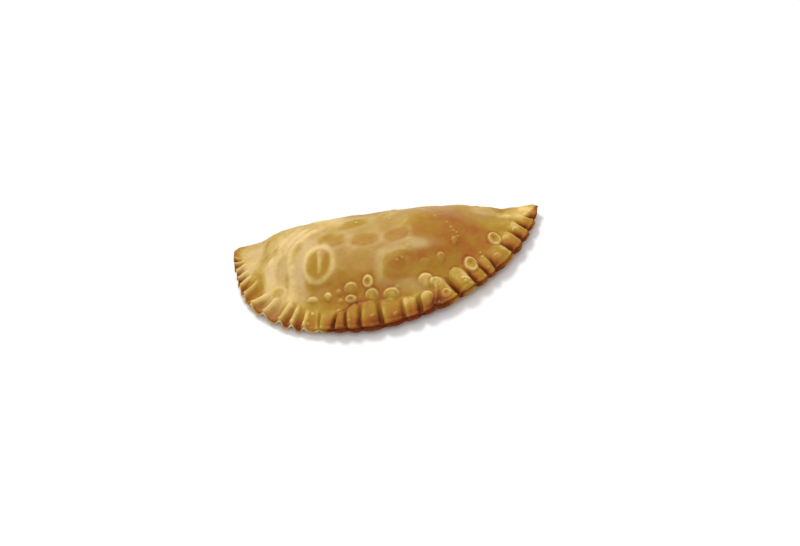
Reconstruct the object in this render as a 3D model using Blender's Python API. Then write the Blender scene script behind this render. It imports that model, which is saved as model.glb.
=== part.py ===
"""A fried half-moon empanada: one disc of dough folded over its filling, with a crimped rim.

The frame is metres, +Z up. X runs along the fold, the rim's arc bulges towards -Y, and the origin is
under the middle of the piece, on the surface that it lies on.

The skin is a closed band of sections. Each section starts at the rim's edge, runs inwards over the
crimped rim and the filled body to the fold, turns round the fold, and comes back underneath.
"""

import math

import bmesh
import bpy

MM = 0.001

# The disc of dough once it is folded
HALF_LENGTH = 70 * MM
RIM_DEPTH = 66 * MM
FOLD_BULGE = 2.5 * MM
TIP_BLUNTNESS = 1.3 * MM

# The filled body
BODY_RISE = 13.4 * MM
STEEPEST_RISE = 0.55
FULL_TO_THE_RIGHT = 18 * MM
EMPTY_TO_THE_RIGHT = 57 * MM
FULL_TO_THE_LEFT = 24 * MM
EMPTY_TO_THE_LEFT = 62 * MM
CROWN_SHARE = 0.42
BACK_SQUARENESS = 2.0
BEND_EASING = 2
FOLD_HEIGHT = 6.5 * MM
FOLD_HEIGHT_AT_TIPS = 3.4 * MM
BACK_UNDERCUT = 8 * MM
FLAT_HALF_LENGTH = 44 * MM

# The pressed rim
RIM_WIDTH = 12.5 * MM
RIM_SHARE_AT_TIPS = 0.62
EDGE_TOP = 5.0 * MM
EDGE_TOP_AT_TIPS = 3.6 * MM
EDGE_UNDERSIDE = 2.4 * MM
RIM_SLOPE = 0.36
RIM_SLOPE_AT_TIPS = 0.2
THIN_FROM = 30 * MM
UNDERSIDE_SLOPE = 0.08
BELLY_RUN = 6 * MM
RIDGE_SHARPNESS = 2.6
SCOOP_SHARPNESS = 2.0
UNDERSIDE_SHARE = 0.2
SCALLOP = 0.9 * MM

# From the right tip on, the crimp stands up in ridges. Each one's width and the depth of its grooves
RIDGES = (
    (9.0 * MM, 1.8 * MM),
    (8.0 * MM, 2.2 * MM),
    (7.5 * MM, 2.4 * MM),
    (8.1 * MM, 2.8 * MM),
    (12.7 * MM, 3.0 * MM),
    (4.6 * MM, 2.8 * MM),
    (6.7 * MM, 2.8 * MM),
    (8.7 * MM, 3.8 * MM),
    (11.6 * MM, 1.4 * MM),
    (6.4 * MM, 3.0 * MM),
    (7.1 * MM, 2.6 * MM),
    (9.7 * MM, 3.2 * MM),
    (9.7 * MM, 2.8 * MM),
    (6.0 * MM, 2.4 * MM),
    (6.2 * MM, 2.6 * MM),
    (6.9 * MM, 1.8 * MM),
)

# Further on to the left tip it is scooped out, and thin crests stand between the scoops
SCOOPS = (
    (7.4 * MM, 1.2 * MM),
    (6.7 * MM, 2.6 * MM),
    (6.8 * MM, 2.4 * MM),
    (11.0 * MM, 2.4 * MM),
    (10.0 * MM, 2.2 * MM),
    (7.6 * MM, 2.6 * MM),
    (7.0 * MM, 1.8 * MM),
    (5.8 * MM, 1.6 * MM),
    (6.1 * MM, 1.6 * MM),
    (6.7 * MM, 1.6 * MM),
    (4.5 * MM, 1.2 * MM),
    (5.5 * MM, 0.6 * MM),
)

DEEPEST_PRESS = max(depth for _, depth in RIDGES + SCOOPS)

# Broad blisters in the dough: x and y from the middle of the fold, radius and rise
BLISTERS = (
    (-20.7 * MM, -39.3 * MM, 9 * MM, 1.4 * MM),
    (-14.8 * MM, -27.7 * MM, 6 * MM, 0.4 * MM),
    (-0.2 * MM, -30.0 * MM, 7 * MM, 0.4 * MM),
    (14.2 * MM, -30.0 * MM, 5 * MM, 0.4 * MM),
    (-6.9 * MM, -17.3 * MM, 7 * MM, 0.4 * MM),
    (15.0 * MM, -43.7 * MM, 7 * MM, 0.6 * MM),
    (25.8 * MM, -49.6 * MM, 4 * MM, 1.6 * MM),
    (44.6 * MM, -40.5 * MM, 4 * MM, 1.4 * MM),
    (53.3 * MM, -24.8 * MM, 4 * MM, 1.2 * MM),
)

# The tips curl up off the surface
LIFT_START = 46 * MM
RIGHT_TIP_LIFT = 0.2 * MM
LEFT_TIP_LIFT = 1.0 * MM

# How finely the sections are drawn
STEPS_PER_RIDGE = 6
RIM_ROWS = 5
FRONT_ROWS = 7
BACK_ROWS = 7
HEEL_ROWS = 3
BASE_ROWS = 2
BELLY_ROWS = 2
UNDERSIDE_ROWS = 3

CRUST_COLOUR = (0.56, 0.34, 0.12, 1.0)
CRUST_ROUGHNESS = 0.42
SMOOTH_ANGLE = math.radians(50)


def clear_scene():
    for obj in list(bpy.data.objects):
        bpy.data.objects.remove(obj)


def crust_material():
    material = bpy.data.materials.new("fried_dough")
    material.use_nodes = True
    shader = material.node_tree.nodes["Principled BSDF"]
    shader.inputs["Base Color"].default_value = CRUST_COLOUR
    shader.inputs["Roughness"].default_value = CRUST_ROUGHNESS
    shader.inputs["Metallic"].default_value = 0.0
    material.diffuse_color = CRUST_COLOUR
    return material


def ease(value):
    """A smooth step from 0 to 1 as value goes from 0 to 1."""
    value = min(1.0, max(0.0, value))
    return value * value * (3 - 2 * value)


def groove(share):
    """0 on the middle of a ridge and 1 at its sides."""
    return abs(2 * share - 1) ** RIDGE_SHARPNESS


def scoop(share):
    """1 at the bottom of a scoop and 0 on the crests at its sides."""
    return 1 - abs(2 * share - 1) ** SCOOP_SHARPNESS


def stations():
    """(angle along the rim, depth pressed) for each section, from the right tip to the left."""
    whole = sum(width for width, _ in RIDGES + SCOOPS)
    passed = 0.0
    for presses, relief in ((RIDGES, groove), (SCOOPS, scoop)):
        for width, depth in presses:
            for step in range(STEPS_PER_RIDGE):
                share = step / STEPS_PER_RIDGE
                yield math.pi * (passed + share * width) / whole, depth * relief(share)
            passed += width


def press_reach(inwards, rim_width):
    """How much of a press's depth is left at a distance in from the edge: it runs out into the body."""
    outer = 0.72 + 0.28 * ease(inwards / (0.3 * rim_width))
    return outer * (1 - ease((inwards / rim_width - 0.55) / 0.45))


def eased(heights):
    """The heights with each one but the first and last averaged with its neighbours, a few times over."""
    for _ in range(BEND_EASING):
        middles = zip(heights, heights[1:], heights[2:])
        heights = [heights[0], *(0.25 * a + 0.5 * b + 0.25 * c for a, b, c in middles), heights[-1]]
    return heights


def tip_lift(x):
    """How far the dough curls up at a place along the length."""
    lift = RIGHT_TIP_LIFT if x > 0 else LEFT_TIP_LIFT
    return lift * ease((abs(x) - LIFT_START) / (HALF_LENGTH - LIFT_START)) ** 1.4


def fullness(x):
    """How full of filling the body is at a place along the length, from 0 at a tip to 1."""
    if x > 0:
        return 1 - ease((x - FULL_TO_THE_RIGHT) / (EMPTY_TO_THE_RIGHT - FULL_TO_THE_RIGHT))
    return 1 - ease((-x - FULL_TO_THE_LEFT) / (EMPTY_TO_THE_LEFT - FULL_TO_THE_LEFT))


def blistered(x, y):
    """How far the blisters lift the dough at a place: each is a smooth dome."""
    lift = 0.0
    for centre_x, centre_y, radius, rise in BLISTERS:
        away = math.hypot(x - centre_x, y - centre_y) / radius
        lift += rise * max(0.0, 1 - away**2) ** 2
    return lift


class Section:
    """One station's section: its path over the ground from the rim to the fold, and its heights."""

    def __init__(self, angle, press):
        outwards = (math.cos(angle), -math.sin(angle))
        self.edge = (HALF_LENGTH * outwards[0], RIM_DEPTH * outwards[1] - TIP_BLUNTNESS)
        fold_x = (HALF_LENGTH - TIP_BLUNTNESS) * (1 - 2 * angle / math.pi)
        self.fold = (fold_x, FOLD_BULGE * (1 - (fold_x / HALF_LENGTH) ** 2))
        self.length = math.dist(self.edge, self.fold)
        half = 0.5 * self.length
        self.bend = (
            self.edge[0] - half * outwards[0],
            self.edge[1] - half * outwards[1],
        )
        self.rim_width = min(RIM_WIDTH, RIM_SHARE_AT_TIPS * self.length)
        self.press = press * self.rim_width / RIM_WIDTH
        self.notch = min(SCALLOP * self.press / DEEPEST_PRESS, 0.2 * self.rim_width)
        self.body_width = self.length - self.rim_width
        thin = ease((abs(fold_x) - THIN_FROM) / (HALF_LENGTH - THIN_FROM))
        self.edge_top = EDGE_TOP + (EDGE_TOP_AT_TIPS - EDGE_TOP) * thin
        self.rim_slope = RIM_SLOPE + (RIM_SLOPE_AT_TIPS - RIM_SLOPE) * thin
        self.rim_top = self.edge_top + self.rim_slope * self.rim_width
        fill = fullness(fold_x)
        self.crown = self.rim_top + min(BODY_RISE * fill, STEEPEST_RISE * self.body_width)
        self.crown_at = self.rim_width + CROWN_SHARE * self.body_width
        self.fold_height = FOLD_HEIGHT_AT_TIPS + (FOLD_HEIGHT - FOLD_HEIGHT_AT_TIPS) * fill
        self.base = EDGE_UNDERSIDE * ease((abs(fold_x) - FLAT_HALF_LENGTH) / (HALF_LENGTH - FLAT_HALF_LENGTH))
        self.heel_at = self.length - min(BACK_UNDERCUT, 0.3 * self.length)
        self.belly_at = min(self.rim_width + BELLY_RUN, 0.5 * (self.rim_width + self.heel_at))

    def over_ground(self, inwards):
        """The place on the ground at a distance in from the rim: a curve that leaves the rim squarely."""
        part = inwards / self.length
        weights = ((1 - part) ** 2, 2 * part * (1 - part), part**2)
        return [
            sum(w * point[axis] for w, point in zip(weights, (self.edge, self.bend, self.fold)))
            for axis in (0, 1)
        ]

    def point(self, inwards, height):
        x, y = self.over_ground(inwards)
        return (x, y, height + tip_lift(x))

    def upper_point(self, inwards, height):
        x, y = self.over_ground(inwards)
        return self.point(inwards, height + blistered(x, y))

    def front(self):
        """Over the pressed rim, then up the body to its crown as a parabola, with an eased bend."""
        rows = [self.notch + (self.rim_width - self.notch) * row / RIM_ROWS for row in range(RIM_ROWS)]
        heights = [self.edge_top + self.rim_slope * inwards for inwards in rows]
        for row in range(FRONT_ROWS + 1):
            part = row / FRONT_ROWS
            rows.append(self.rim_width + part * (self.crown_at - self.rim_width))
            heights.append(self.rim_top + (self.crown - self.rim_top) * (1 - (1 - part) ** 2))
        for inwards, height in list(zip(rows, eased(heights)))[:-1]:
            yield self.upper_point(inwards, height - self.press * press_reach(inwards, self.rim_width))

    def back(self):
        """From the crown down to the fold, as a quarter of a superellipse."""
        for row in range(BACK_ROWS + 1):
            turn = 0.5 * math.pi * row / BACK_ROWS
            along = math.sin(turn) ** (2 / BACK_SQUARENESS)
            down = max(0.0, math.cos(turn)) ** (2 / BACK_SQUARENESS)
            inwards = self.crown_at + along * (self.length - self.crown_at)
            yield self.upper_point(inwards, self.fold_height + down * (self.crown - self.fold_height))

    def heel(self):
        """From the fold round to the flat base, as a quarter of an ellipse."""
        for row in range(1, HEEL_ROWS + 1):
            turn = 0.5 * math.pi * row / HEEL_ROWS
            inwards = self.heel_at + (self.length - self.heel_at) * math.cos(turn)
            yield self.point(inwards, self.base + (self.fold_height - self.base) * (1 - math.sin(turn)))

    def underneath(self):
        """Along the flat base, up the belly, and out under the rim to its edge."""
        for row in range(1, BASE_ROWS + 1):
            inwards = self.heel_at + (self.belly_at - self.heel_at) * row / BASE_ROWS
            yield self.point(inwards, self.base)
        inner = EDGE_UNDERSIDE + UNDERSIDE_SLOPE * self.rim_width
        for row in range(1, BELLY_ROWS + 1):
            part = row / BELLY_ROWS
            inwards = self.belly_at + (self.rim_width - self.belly_at) * part
            yield self.point(inwards, self.base + (inner - self.base) * ease(part))
        for row in range(1, UNDERSIDE_ROWS + 1):
            inwards = self.rim_width + (self.notch - self.rim_width) * row / UNDERSIDE_ROWS
            height = EDGE_UNDERSIDE + UNDERSIDE_SLOPE * inwards
            press = UNDERSIDE_SHARE * self.press * press_reach(inwards, self.rim_width)
            yield self.point(inwards, height + press)

    def points(self):
        return [*self.front(), *self.back(), *self.heel(), *self.underneath()]


def centred(sections):
    """The sections moved so that the origin is under the middle of the whole piece."""
    spans = []
    for axis in (0, 1, 2):
        values = [point[axis] for section in sections for point in section]
        spans.append((min(values), max(values)))
    shift = [0.5 * sum(spans[0]), 0.5 * sum(spans[1]), spans[2][0]]
    return [[[p - s for p, s in zip(point, shift)] for point in section] for section in sections]


def build_skin(sections):
    """Bridges each section's loop to the next, and closes both tips."""
    skin = bmesh.new()
    loops = []
    for section in sections:
        corners = [skin.verts.new(point) for point in section]
        loops.append([skin.edges.new((a, b)) for a, b in zip(corners, corners[1:] + corners[:1])])
    for loop, following in zip(loops, loops[1:]):
        bmesh.ops.bridge_loops(skin, edges=loop + following)
    bmesh.ops.contextual_create(skin, geom=loops[0])
    bmesh.ops.contextual_create(skin, geom=loops[-1])
    bmesh.ops.recalc_face_normals(skin, faces=skin.faces)
    return skin


def build_empanada():
    inner = list(stations())[1:]
    sections = centred([Section(angle, press).points() for angle, press in inner])
    skin = build_skin(sections)
    mesh = bpy.data.meshes.new("empanada")
    skin.to_mesh(mesh)
    skin.free()
    mesh.shade_smooth()
    mesh.set_sharp_from_angle(angle=SMOOTH_ANGLE)
    mesh.materials.append(crust_material())
    empanada = bpy.data.objects.new("empanada", mesh)
    bpy.context.scene.collection.objects.link(empanada)
    return empanada


clear_scene()
build_empanada()
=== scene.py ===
"""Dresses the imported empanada: its pressed rim, its blistered skin and its browning.

The dough is one closed surface, worked out as whole arrays over a grid of stations along the rim by
rows across the piece. A station's section starts at the rim's edge, runs in over the pressed rim and
the filled body to the fold, and comes back underneath. Lengths are metres; places on the dough are
given in millimetres from the middle of the fold, x along it and y towards the back.
"""

import logging
import math
from dataclasses import dataclass, field
from enum import Enum

import bpy
import numpy as np
from mathutils import Matrix, Vector


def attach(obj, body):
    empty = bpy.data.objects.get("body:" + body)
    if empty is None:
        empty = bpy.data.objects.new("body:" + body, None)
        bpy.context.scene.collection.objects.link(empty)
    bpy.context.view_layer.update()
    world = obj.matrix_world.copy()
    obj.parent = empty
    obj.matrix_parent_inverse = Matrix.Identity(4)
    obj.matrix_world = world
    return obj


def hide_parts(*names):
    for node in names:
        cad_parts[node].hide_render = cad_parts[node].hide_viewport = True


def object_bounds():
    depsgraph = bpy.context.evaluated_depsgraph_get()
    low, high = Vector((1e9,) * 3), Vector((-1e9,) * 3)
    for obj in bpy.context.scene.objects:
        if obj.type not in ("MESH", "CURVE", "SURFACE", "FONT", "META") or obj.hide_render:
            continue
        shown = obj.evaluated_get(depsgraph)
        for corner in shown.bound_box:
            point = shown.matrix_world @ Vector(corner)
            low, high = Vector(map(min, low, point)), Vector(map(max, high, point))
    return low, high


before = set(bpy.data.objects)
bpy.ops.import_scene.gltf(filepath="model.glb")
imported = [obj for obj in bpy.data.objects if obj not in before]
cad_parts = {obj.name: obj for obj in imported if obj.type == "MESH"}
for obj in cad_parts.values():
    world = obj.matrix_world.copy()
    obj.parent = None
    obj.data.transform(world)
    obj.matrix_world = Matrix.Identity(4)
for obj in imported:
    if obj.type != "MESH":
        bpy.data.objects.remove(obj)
CAD_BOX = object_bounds()

LOG = logging.getLogger("empanada")
MM = 0.001


def ease(values: np.ndarray) -> np.ndarray:
    """Steps smoothly from 0 to 1 as the values go from 0 to 1.

    Args:
        values: Any numbers; what is outside 0 to 1 is clipped.

    Returns:
        Three times the square less twice the cube of each clipped value.
    """
    clipped = np.clip(values, 0.0, 1.0)
    return clipped * clipped * (3 - 2 * clipped)


def bell(distance: np.ndarray, width: float) -> np.ndarray:
    """Gives 1 at no distance, fading to nothing: e to the minus square of distance over width.

    Args:
        distance: How far each point is.
        width: The distance at which the value has fallen to about a third.

    Returns:
        The value at each point.
    """
    return np.exp(-((distance / width) ** 2))


def unevenness(points: np.ndarray, wavelength: float, seed: int, waves: int = 14) -> np.ndarray:
    """Gives a smooth random field through space: a sum of sine waves in random directions.

    Args:
        points: Places, with x, y and z on the last axis.
        wavelength: The mean distance between two crests.
        seed: Fixes the directions, lengths and phases.
        waves: How many waves are added.

    Returns:
        The field at each point, which mostly stays between -1 and 1.
    """
    random = np.random.default_rng(seed)
    directions = random.normal(size=(waves, 3))
    directions /= np.linalg.norm(directions, axis=1, keepdims=True)
    lengths = wavelength * random.uniform(0.7, 1.5, waves)
    phases = random.uniform(0, 2 * math.pi, waves)
    turns = points @ (directions.T * (2 * math.pi / lengths))
    return np.sin(turns + phases).sum(axis=-1) * math.sqrt(2 / waves) * 0.6


@dataclass(frozen=True)
class Ridge:
    """One ridge or finger press of the rim, and the groove on its left side. Sizes are millimetres.

    Attributes:
        width: How much of the rim's edge it takes.
        reach: How far in from the edge it runs.
        crest: How far its middle stands above its sides, or below them where a finger pressed it.
        squareness: How flat its back is: 2 for a round one, more for a flatter one. For a pressed one,
            how steeply its sides go down.
        lean: How far across it its crest stands, from 0 on its right to 1 on its left.
        shade_and_toast: How much darker its longer side is painted, or the bottom of a pressed one:
            partly browner dough, partly painted shade.
        ledge: How far the whole ridge stands above the dough behind it.
        groove: How deep the groove is, or below nothing how far a pinched pleat stands up there.
        gap: How wide the groove or the pleat is.
        slant: How far its left side wanders to the left over the first 8 mm inwards.
    """

    width: float
    reach: float
    crest: float
    squareness: float
    lean: float
    shade_and_toast: float
    ledge: float
    groove: float
    gap: float
    slant: float


# From the right tip to the left: sixteen ridges, then twelve places where a finger pressed the rim
RIDGES = tuple(
    Ridge(*sizes)
    for sizes in (
        (9.0, 12.0, 1.4, 2.4, 0.35, 0.45, 0.2, 1.5, 1.1, 0.8),
        (8.0, 11.0, 1.5, 2.6, 0.35, 0.42, 0.3, 1.6, 1.1, -0.5),
        (7.5, 10.5, 1.6, 2.6, 0.35, 0.42, 0.3, 1.7, 1.1, -1.2),
        (8.1, 10.5, 1.8, 2.6, 0.35, 0.45, 0.3, 1.8, 1.1, 0.0),
        (12.7, 10.5, 1.8, 2.8, 0.35, 0.38, 0.3, 1.7, 1.1, -2.0),
        (4.6, 10.0, 1.6, 2.6, 0.35, 0.38, 0.3, 1.7, 1.0, 0.0),
        (6.7, 10.5, 1.6, 2.6, 0.35, 0.42, 0.3, 1.9, 1.1, 0.0),
        (8.7, 12.0, 2.6, 2.8, 0.45, 0.35, 0.8, 2.8, 1.3, 1.5),
        (11.6, 11.5, 0.8, 3.0, 0.40, 0.30, 0.3, -0.9, 0.9, -4.0),
        (6.4, 9.5, 1.0, 2.8, 0.60, 0.25, 0.4, 2.8, 2.0, -1.0),
        (7.1, 9.6, 1.1, 3.0, 0.62, 0.28, 0.5, 1.4, 1.2, 0.0),
        (9.7, 10.8, 1.1, 3.4, 0.62, 0.22, 0.6, 2.4, 1.8, 1.0),
        (9.7, 11.2, 1.2, 3.2, 0.62, 0.25, 0.8, 1.6, 1.3, 0.0),
        (6.0, 11.0, 1.2, 2.8, 0.60, 0.25, 1.0, 1.2, 1.1, 1.0),
        (6.2, 7.4, 1.2, 2.6, 0.60, 0.25, 1.3, 2.0, 1.8, -0.8),
        (6.9, 9.0, 1.0, 2.4, 0.60, 0.30, 0.0, 1.2, 1.3, 1.8),
        (7.4, 8.5, -1.0, 1.3, 0.50, 0.25, 0.0, -0.5, 2.4, 0.8),
        (6.7, 9.0, -2.4, 1.2, 0.50, 0.60, 0.0, -0.7, 2.6, 0.0),
        (6.8, 11.0, -2.1, 1.2, 0.50, 0.50, 0.0, -0.7, 2.6, -1.5),
        (11.0, 10.5, -2.3, 1.3, 0.50, 0.45, 0.0, -0.6, 2.8, -3.0),
        (10.0, 9.0, -2.1, 1.3, 0.50, 0.40, 0.0, -0.6, 2.8, -6.0),
        (7.6, 11.5, -2.5, 1.4, 0.50, 0.30, 0.0, -0.8, 2.6, 0.3),
        (7.0, 9.0, -1.8, 1.3, 0.50, 0.45, 0.0, -0.8, 2.2, 0.0),
        (5.8, 8.5, -1.8, 1.3, 0.50, 0.90, 0.0, -0.7, 1.8, -0.5),
        (6.1, 8.5, -1.8, 1.3, 0.50, 0.95, 0.0, -0.7, 1.8, -0.5),
        (6.7, 8.5, -1.8, 1.3, 0.50, 0.95, 0.0, -0.7, 1.8, -4.5),
        (4.5, 8.0, -1.4, 1.3, 0.50, 0.80, 0.0, -0.5, 1.6, -5.0),
        (5.5, 6.5, -0.8, 1.3, 0.50, 0.25, 0.0, 0.0, 1.0, 0.0),
    )
)


class Swelling(Enum):
    """How the dough has swollen at a blister."""

    DOME = "a round bubble with a pinched foot"
    RING = "a bubble that has sunk in the middle"
    SHEET = "a wide, flat blister with a raised border"
    HOLLOW = "a sunken place"
    SPECK = "a pimple"


@dataclass(frozen=True)
class Blister:
    """A swollen or sunken place in the dough. Places and sizes are millimetres.

    Attributes:
        kind: Its shape.
        x: Where its middle is, along the fold.
        y: Where its middle is, across the piece.
        width: Its size along the fold.
        length: Its size up the slope.
        rise: How far it stands out.
        turn: How far it is turned, in degrees.
    """

    kind: Swelling
    x: float
    y: float
    width: float
    length: float
    rise: float
    turn: float = 0.0

    def shape(self, away: np.ndarray, uphill: np.ndarray) -> np.ndarray:
        """Gives the height over the dough as a share of the rise.

        Args:
            away: Each point's distance from the middle, where 1 is the blister's border.
            uphill: 1 straight up the slope from the middle, 0 level with it, -1 straight down.

        Returns:
            All start from a cap: one less the square of the distance. For a pimple, the cap. For a
            dome, the cap to a power that is lower uphill, so that its upper side is fuller, less a
            slight moat. For a ring, the cap's square root with a bell taken out of its middle, less a
            moat. For a sheet, a plateau with a soft border and a bell just inside it. For a hollow, a
            dish.
        """
        cap = np.clip(1 - away**2, 0, None)
        if self.kind is Swelling.SPECK:
            return cap
        if self.kind is Swelling.DOME:
            return cap ** (1.05 - 0.4 * uphill) - 0.06 * bell(away - 1.1, 0.14) * (1 + uphill)
        if self.kind is Swelling.RING:
            return cap**0.5 * (1 - 0.6 * bell(away, 0.36)) - 0.12 * bell(away - 1.15, 0.14)
        if self.kind is Swelling.SHEET:
            return 0.7 * ease((1 - away) / 0.4) + 0.3 * bell(away - 0.8, 0.18)
        return -ease(1.15 - away)

    def stretch(self, away: np.ndarray, uphill: np.ndarray) -> np.ndarray:
        """Gives how much paler the skin is painted at a blister that stands out: partly skin pulled
        thin, partly a painted highlight on the border that faces the light.

        Args:
            away: Each point's distance from the middle, where 1 is the blister's border.
            uphill: 1 straight up the slope from the middle, 0 level with it, -1 straight down.

        Returns:
            A bell just inside the border. A dome's is stronger uphill, on the side that faces the
            light, with a weaker bell over its middle; a pimple has one bell all over, a painted glint.
        """
        if self.kind is Swelling.SPECK:
            return 1.8 * bell(away, 0.8)
        radius = 0.25 * (self.width + self.length)
        band = bell((away - 0.84) * radius, 1.4 if self.kind is Swelling.SHEET else 0.55)
        if self.kind is Swelling.DOME:
            return np.maximum(band * (0.6 + 0.8 * uphill), 0.3 * bell(away, 0.7))
        return band


# Each kind's blisters: x, y, width, length and rise, and the turn of those that are turned
LARGE_BLISTERS = {
    Swelling.SHEET: (
        (-20.7, -39.0, 17.0, 19.4, 0.9, -5),
        (15.0, -43.7, 12.0, 9.5, 0.3, 20),
        (-14.8, -27.7, 14.0, 8.4, 0.22, -15),
        (-0.2, -30.0, 13.4, 8.4, 0.22, -5),
        (14.2, -30.0, 11.0, 8.0, 0.22, 3),
        (-6.9, -17.3, 15.0, 9.4, 0.22, 20),
        (-41.8, -41.5, 11.5, 7.5, 0.35, -15),
        (22.0, 0.4, 13.0, 8.0, 0.4, 8),
        (-14.0, 1.0, 10.0, 7.0, 0.4, -12),
    ),
    Swelling.HOLLOW: (
        (-53.5, -32.5, 8.6, 12.8, 0.8, 30),
    ),
    Swelling.RING: (
        (53.3, -24.8, 5.6, 8.0, 1.3, 22),
        (44.6, -40.5, 5.8, 8.6, 1.6, 18),
        (-6.5, -53.9, 5.2, 3.4, 1.2, -8),
        (34.4, -54.7, 4.0, 4.2, 0.8),
        (1.5, -49.2, 4.7, 5.5, 1.3, -8),
        (-36.0, 0.2, 5.6, 5.0, 0.9),
    ),
    Swelling.DOME: (
        (25.8, -48.6, 6.8, 6.2, 1.8),
        (29.8, -49.2, 5.6, 4.7, 1.1),
        (26.2, -56.8, 5.6, 6.3, 1.3),
        (2.8, -53.9, 6.0, 6.2, 1.6),
        (11.1, -54.0, 7.4, 5.8, 1.5),
        (13.6, -51.5, 3.4, 1.8, 0.5, 32),
        (-6.4, -50.3, 6.2, 5.4, 0.9),
        (-17.1, -51.2, 3.7, 3.5, 1.0),
        (-24.5, -50.3, 5.3, 2.6, 0.8, -10),
        (-12.1, -50.8, 2.4, 2.5, 0.6),
        (-11.4, -54.1, 2.4, 2.0, 0.6),
        (-12.6, -57.9, 2.0, 2.0, 0.6),
        (-35.5, -49.7, 2.6, 2.8, 0.8),
        (37.9, -31.0, 2.7, 4.3, 0.7),
        (32.6, -39.4, 3.6, 4.3, 0.7),
        (26.0, -43.0, 4.4, 4.6, 0.4),
        (55.2, -36.6, 3.6, 4.4, 0.7, 20),
        (62.3, -19.5, 3.2, 4.5, 0.6, 35),
        (58.8, -24.6, 3.4, 4.3, 0.6, 50),
        (69.4, -2.5, 2.4, 3.0, 0.9),
        (6.5, 1.2, 4.6, 4.0, 0.8),
        (3.0, 1.8, 2.6, 2.6, 0.5),
        (-30.5, 0.8, 3.4, 3.0, 0.6),
        (43.0, 1.2, 4.2, 3.6, 0.5),
    ),
}

# Where the pimples are, and one pimple's width, length and rise
PIMPLES = (
    (29.4, -18.0), (31.1, -15.5), (34.6, -21.2), (36.5, -24.3), (37.3, -25.7),
    (38.6, -26.6), (39.4, -28.2), (-5.4, -17.4), (9.7, -17.2), (14.7, -42.2), (16.9, -41.3),
    (19.7, -36.7), (47.8, -33.5), (48.7, -35.8), (51.8, -42.2), (41.9, -49.3),
    (43.1, -48.9), (44.1, -48.8), (42.7, -50.7), (31.3, -58.6), (32.8, -60.0), (2.5, -63.9),
    (3.4, -63.5), (12.6, -63.6), (13.6, -63.2), (-7.3, -64.4), (-25.0, -56.0),
    (-26.6, -60.0), (-28.7, -59.4), (-34.2, -57.2), (-35.0, -54.8),
)
PIMPLE_SIZE = (1.5, 1.4, 0.5)

BLISTERS = tuple(
    [Blister(kind, *sizes) for kind, rows in LARGE_BLISTERS.items() for sizes in rows]
    + [Blister(Swelling.SPECK, x, y, *PIMPLE_SIZE) for x, y in PIMPLES]
)


@dataclass(frozen=True)
class Crease:
    """A soft fold in the dough, or a broad swell or dip of the filled body. Sizes are millimetres.

    Attributes:
        points: The places that it passes through.
        width: How wide it is.
        rise: How far it stands out, or in if below nothing.
    """

    points: tuple[tuple[float, float], ...]
    width: float
    rise: float

    def distance(self, x: np.ndarray, y: np.ndarray) -> np.ndarray:
        """Gives each place's distance to the nearest straight stretch between two of the points.

        Args:
            x: Places along the fold, in millimetres.
            y: Places across the piece, in millimetres.

        Returns:
            The distances, in millimetres.
        """
        nearest = np.full(x.shape, np.inf)
        for (x0, y0), (x1, y1) in zip(self.points, self.points[1:]):
            run = math.hypot(x1 - x0, y1 - y0)
            along = ((x - x0) * (x1 - x0) + (y - y0) * (y1 - y0)) / run**2
            along = np.clip(along, 0, 1)
            gap = np.hypot(x - x0 - along * (x1 - x0), y - y0 - along * (y1 - y0))
            nearest = np.minimum(nearest, gap)
        return nearest


# Soft folds, pulled as the dough was closed, and then the swells and dips along the fold
CREASES = (
    Crease(((-24, -19.7), (-29, -23.5), (-32, -26.7), (-34, -30), (-34.6, -33)), 3.2, 0.6),
    Crease(((-29, -17), (-33.5, -21), (-36.5, -27)), 3.4, 0.2),
    Crease(((-47, -25), (-47.2, -29), (-46.2, -33), (-45.2, -36)), 4.6, 0.9),
    Crease(((-39.5, -17), (-41.5, -22), (-40.5, -27)), 3.4, 0.3),
    Crease(((-20.0, -34.6), (-19.7, -38.2), (-20.0, -42.0)), 2.4, 0.4),
    Crease(((-34, -37), (-33.8, -41.6), (-35.5, -46)), 4.4, 0.5),
    Crease(
        ((7.3, -47.4), (8.2, -44.1), (11.4, -40.5), (15.4, -38.4), (21, -37), (26.6, -35.4)), 4.5, 0.3
    ),
    Crease(((-48, -6), (-43, -6)), 12.0, 0.7),
    Crease(((-12, -5), (-6, -5)), 14.0, -0.9),
    Crease(((17, -5), (25, -5)), 13.0, -1.0),
    Crease(((56, -4), (60, -3.5)), 9.0, -2.1),
    Crease(((-59, -3.5), (-56, -4)), 7.0, -1.5),
)


@dataclass(frozen=True)
class Patch:
    """An oval where the dough has fried differently, or where light or shade is painted. Places and
    sizes are millimetres.

    Attributes:
        x: Where its middle is, along the fold.
        y: Where its middle is, across the piece.
        width: Its size along the fold.
        length: Its size across the piece.
        turn: How far it is turned, in degrees.
        browning_and_shade: How much browner it is, or how much painted shade it has; below nothing is
            paler.
        film_and_sheen: How much more of the whitish lifted skin, partly a painted sheen, it has; below
            nothing is less.
        softness: How much of its radius its border takes.
    """

    x: float
    y: float
    width: float
    length: float
    turn: float
    browning_and_shade: float
    film_and_sheen: float = 0.0
    softness: float = 0.5

    def cover(self, x: np.ndarray, y: np.ndarray) -> np.ndarray:
        """Gives how much of the patch each place has.

        Args:
            x: Places along the fold, in millimetres.
            y: Places across the piece, in millimetres.

        Returns:
            1 inside the oval, fading to 0 by a smooth step over its soft border.
        """
        turn = math.radians(self.turn)
        along = (x - self.x) * math.cos(turn) + (y - self.y) * math.sin(turn)
        across = (y - self.y) * math.cos(turn) - (x - self.x) * math.sin(turn)
        away = np.hypot(2 * along / self.width, 2 * across / self.length)
        return ease((1 - away) / self.softness + 0.5)


# The whitish skin that the patches give is partly a painted sheen, standing in for the reflection on
# the oily top
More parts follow.
